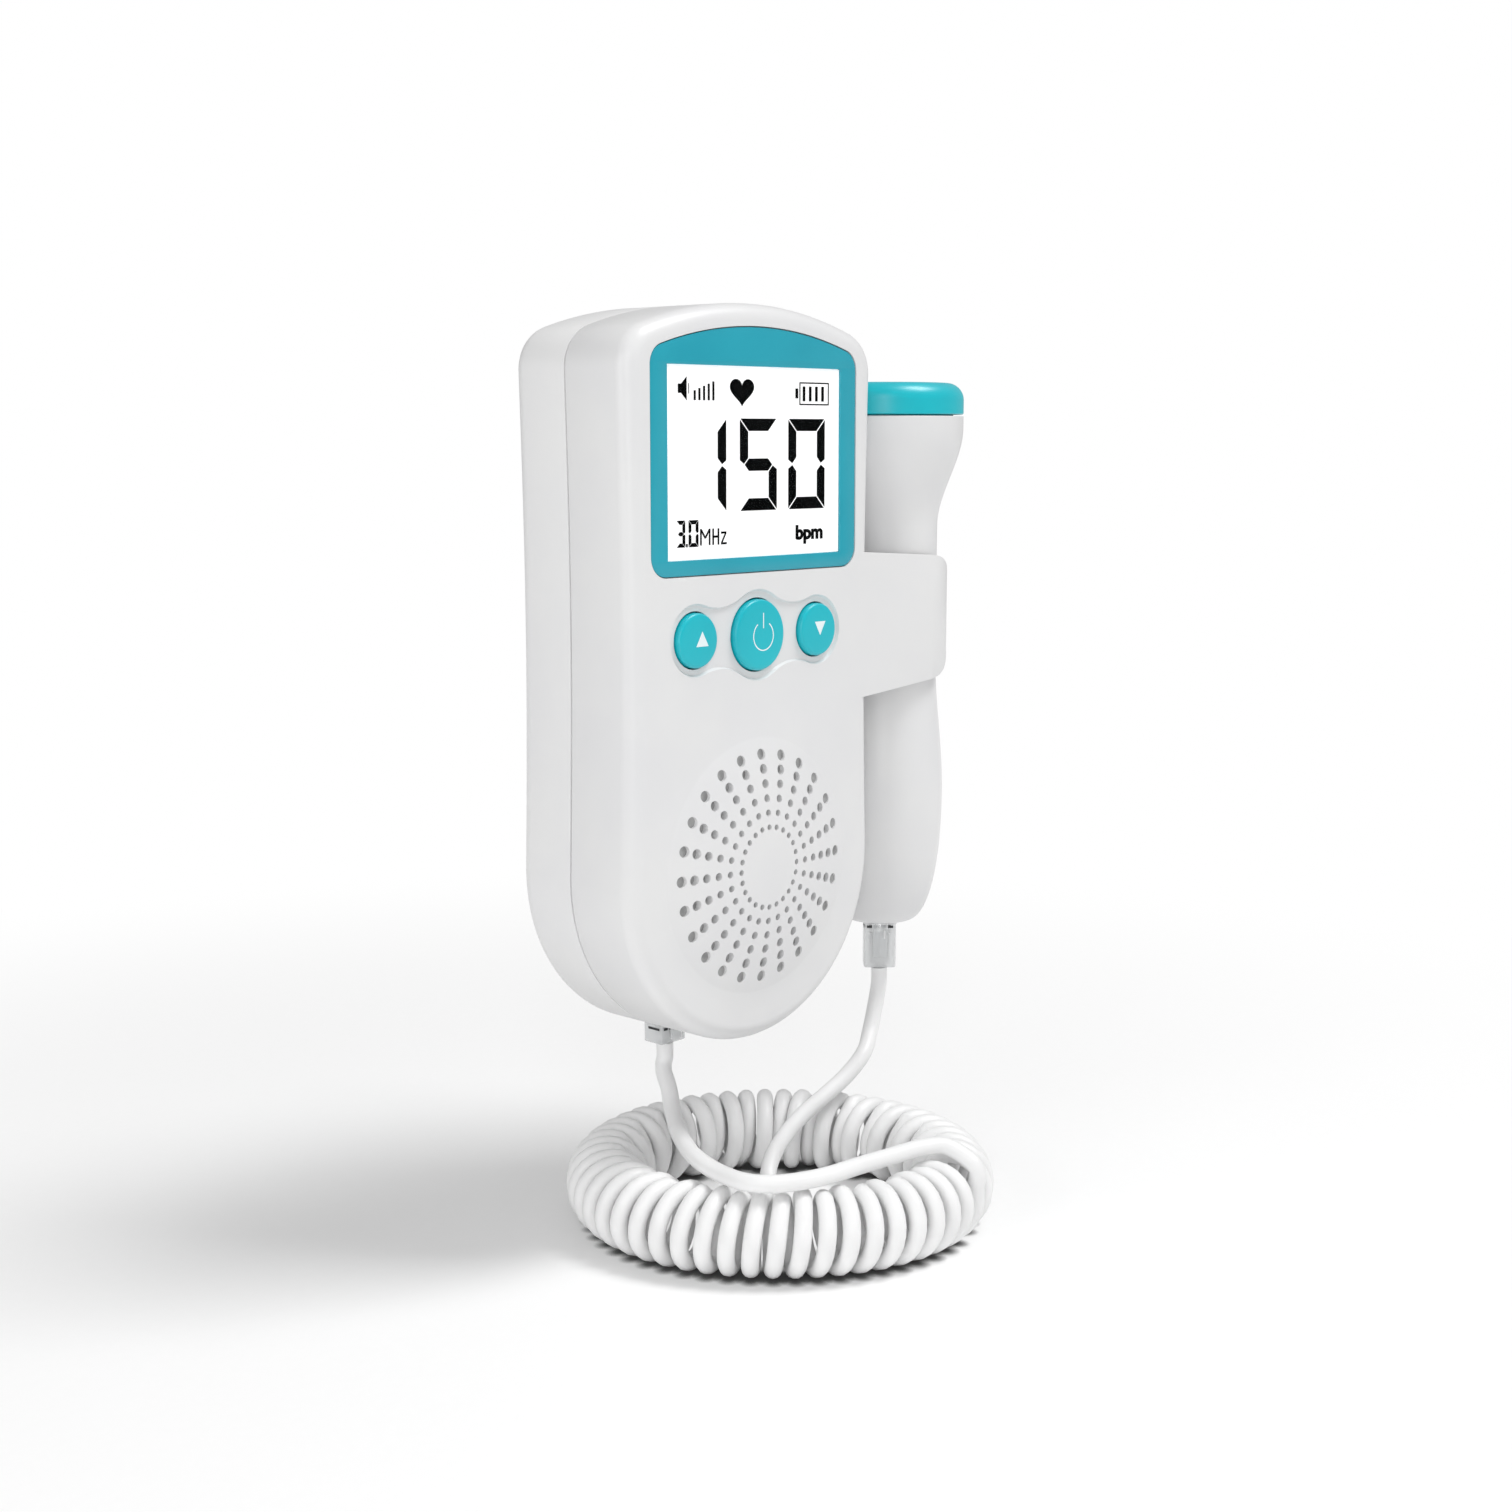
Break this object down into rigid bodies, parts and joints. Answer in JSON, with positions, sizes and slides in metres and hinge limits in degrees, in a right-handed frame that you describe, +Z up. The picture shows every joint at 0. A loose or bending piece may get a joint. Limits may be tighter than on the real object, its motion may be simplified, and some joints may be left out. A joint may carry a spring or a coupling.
{
  "type": "fetal doppler",
  "caption": "Hand-held fetal doppler: display unit with buttons, domed speaker grille and side clip, with a clipped-in ultrasound probe on a curly cord",
  "frame": {"origin": "on the flat back of the monitor unit, at its middle in width and height", "axes": "+Z up along the unit, +Y out of its back, so the display faces -Y; +X to the probe's side"},
  "size_m": [0.0996, 0.0795, 0.1729],
  "materials": {
    "white_abs": "fine satin",
    "teal_abs": "satin gloss",
    "teal_bezel": "satin gloss",
    "clear_window": "polished",
    "display_white": "smooth",
    "board_green": "solder resist",
    "dark_plastic": "moulded",
    "plated_steel": "nickel plated",
    "cell_wrapper": "printed film",
    "plug_grey": "clear moulding",
    "cord_white": "extruded, semi-matt",
    "ceramic": "fired",
    "damping_rubber": "cast"
  },
  "bodies": {
    "unit": {"front_shell": "white_abs", "rear_shell": "white_abs", "display_bezel": "teal_bezel", "display_window": "clear_window", "lcd_module": "display_white", "main_board": "board_green", "switch_power": "dark_plastic", "switch_left": "dark_plastic", "switch_right": "dark_plastic", "speaker_cone": "dark_plastic", "speaker_magnet": "plated_steel", "cell_upper": "cell_wrapper", "cell_lower": "cell_wrapper", "contact_left": "plated_steel", "contact_right": "plated_steel", "screw_upper_left": "plated_steel", "screw_upper_right": "plated_steel", "screw_lower_left": "plated_steel", "screw_lower_right": "plated_steel", "unit_plug": "plug_grey", "unit_jack": "dark_plastic", "cord_coil": "cord_white", "cord_unit_lead": "cord_white", "cord_probe_lead": "cord_white"},
    "button_power": {"button_power": "teal_abs"},
    "button_left": {"button_left": "teal_abs"},
    "button_right": {"button_right": "teal_abs"},
    "battery_cover": {"battery_cover": "white_abs"},
    "probe": {"probe_housing": "white_abs", "probe_cap": "teal_abs", "probe_crystal": "ceramic", "probe_backing": "damping_rubber", "probe_board": "board_green", "probe_jack": "dark_plastic", "probe_plug": "plug_grey"}
  },
  "joints": [
    {"name": "power_press", "type": "slide", "parent": "unit", "child": "button_power", "axis": [0, 1, 0], "range_m": [0, 0.0005], "stiffness_N_per_m": 800, "springref_m": -0.0005},
    {"name": "left_press", "type": "slide", "parent": "unit", "child": "button_left", "axis": [0, 1, 0], "range_m": [0, 0.0005], "stiffness_N_per_m": 800, "springref_m": -0.0005},
    {"name": "right_press", "type": "slide", "parent": "unit", "child": "button_right", "axis": [0, 1, 0], "range_m": [0, 0.0005], "stiffness_N_per_m": 800, "springref_m": -0.0005},
    {"name": "battery_cover_lift", "type": "slide", "parent": "unit", "child": "battery_cover", "axis": [0, 1, 0], "range_m": [0, 0.03]},
    {"name": "probe_release", "type": "slide", "parent": "unit", "child": "probe", "axis": [0.7314, 0.682, 0], "range_m": [0, 0.045]}
  ]
}
